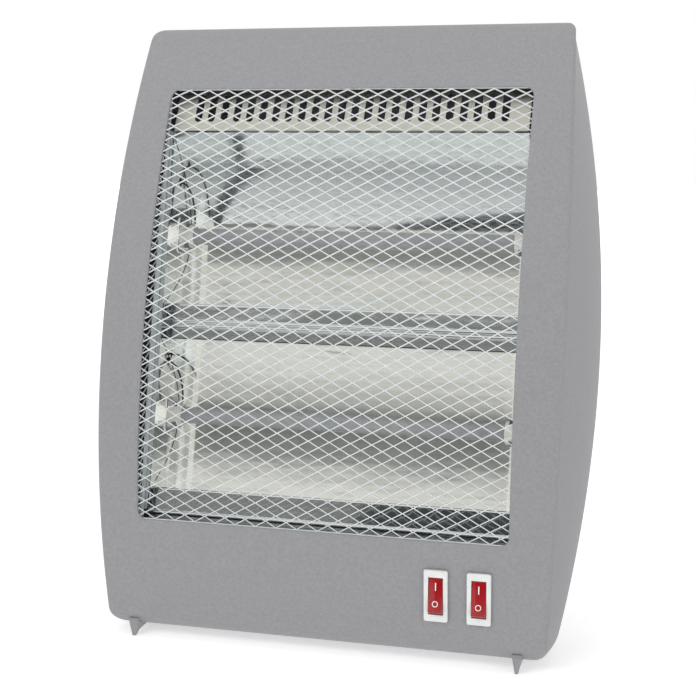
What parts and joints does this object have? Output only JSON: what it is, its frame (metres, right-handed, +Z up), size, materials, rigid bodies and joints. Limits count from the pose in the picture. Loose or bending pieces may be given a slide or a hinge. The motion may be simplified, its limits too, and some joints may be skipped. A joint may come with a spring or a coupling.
{
  "type": "halogen heater",
  "caption": "Free-standing radiant heater: bowed grey housing on blade feet, mesh guard over bright troughs with quartz lamps, rocker switches at lower right.",
  "frame": {"origin": "middle of the floor rectangle that the heater covers, on the floor", "axes": "+X right seen from the front, -Y out of the front, +Z up"},
  "size_m": [0.3072, 0.129, 0.37],
  "materials": {
    "grey_abs": "fine moulded grain, satin",
    "mesh_white": "expanded steel, white powder coat",
    "mirror_aluminium": "bright rolled",
    "quartz": "milky drawn quartz",
    "resistance_wire": "oxidised heating wire",
    "steatite": "unglazed steatite",
    "spring_steel": "bright spring steel",
    "white_nylon": "moulded, semi-gloss",
    "red_lens": "translucent red, polished",
    "brass": "stamped",
    "black_nylon": "moulded",
    "galvanised": "zinc coated sheet",
    "screw_steel": "zinc plated",
    "glass_sleeve": "braided glass fibre sleeve"
  },
  "bodies": {
    "heater": {"front_housing": "grey_abs", "rear_cover": "grey_abs", "foot_left": "grey_abs", "foot_right": "grey_abs", "grille": "mesh_white", "upper_reflector": "mirror_aluminium", "lower_reflector": "mirror_aluminium", "end_plate_left": "mirror_aluminium", "end_plate_right": "mirror_aluminium", "vent_panel": "mirror_aluminium", "upper_quartz_tube": "quartz", "lower_quartz_tube": "quartz", "upper_filament": "resistance_wire", "lower_filament": "resistance_wire", "upper_cap_left": "steatite", "upper_cap_right": "steatite", "lower_cap_left": "steatite", "lower_cap_right": "steatite", "upper_clip_left": "spring_steel", "upper_clip_right": "spring_steel", "lower_clip_left": "spring_steel", "lower_clip_right": "spring_steel", "tip_spring": "spring_steel", "switch_body_left": "white_nylon", "switch_body_right": "white_nylon", "terminal_block": "white_nylon", "switch_blade_left_1": "brass", "switch_blade_left_2": "brass", "switch_blade_right_1": "brass", "switch_blade_right_2": "brass", "tip_micro_switch": "black_nylon", "thermal_cutout": "black_nylon", "cable_inlet": "black_nylon", "tip_switch_bridge": "galvanised", "cover_screw_1": "screw_steel", "cover_screw_2": "screw_steel", "cover_screw_3": "screw_steel", "cover_screw_4": "screw_steel", "reflector_screw_1": "screw_steel", "reflector_screw_2": "screw_steel", "reflector_screw_3": "screw_steel", "reflector_screw_4": "screw_steel", "foot_screw_left_1": "screw_steel", "foot_screw_left_2": "screw_steel", "foot_screw_right_1": "screw_steel", "foot_screw_right_2": "screw_steel", "upper_lamp_lead_left": "glass_sleeve", "lower_lamp_lead_left": "glass_sleeve", "upper_lamp_lead_right": "glass_sleeve", "lower_lamp_lead_right": "glass_sleeve", "feed_lead": "glass_sleeve", "cutout_lead_in": "glass_sleeve", "cutout_lead_out": "glass_sleeve", "switch_jumper": "glass_sleeve"},
    "left_rocker": {"rocker_left": "red_lens"},
    "right_rocker": {"rocker_right": "red_lens"},
    "plunger": {"tip_plunger": "black_nylon"}
  },
  "joints": [
    {"name": "left_rocker_tilt", "type": "hinge", "parent": "heater", "child": "left_rocker", "pos_m": [0.0713, -0.05861, 0.04366], "axis": [1, 0, 0], "range_deg": [0, 21.6]},
    {"name": "right_rocker_tilt", "type": "hinge", "parent": "heater", "child": "right_rocker", "pos_m": [0.0963, -0.05861, 0.04366], "axis": [1, 0, 0], "range_deg": [0, 21.6]},
    {"name": "tip_plunger_drop", "type": "slide", "parent": "heater", "child": "plunger", "axis": [0, 0, -1], "range_m": [0, 0.005], "stiffness_N_per_m": 60, "springref_m": 0.008, "deforming": ["tip_spring"]}
  ]
}
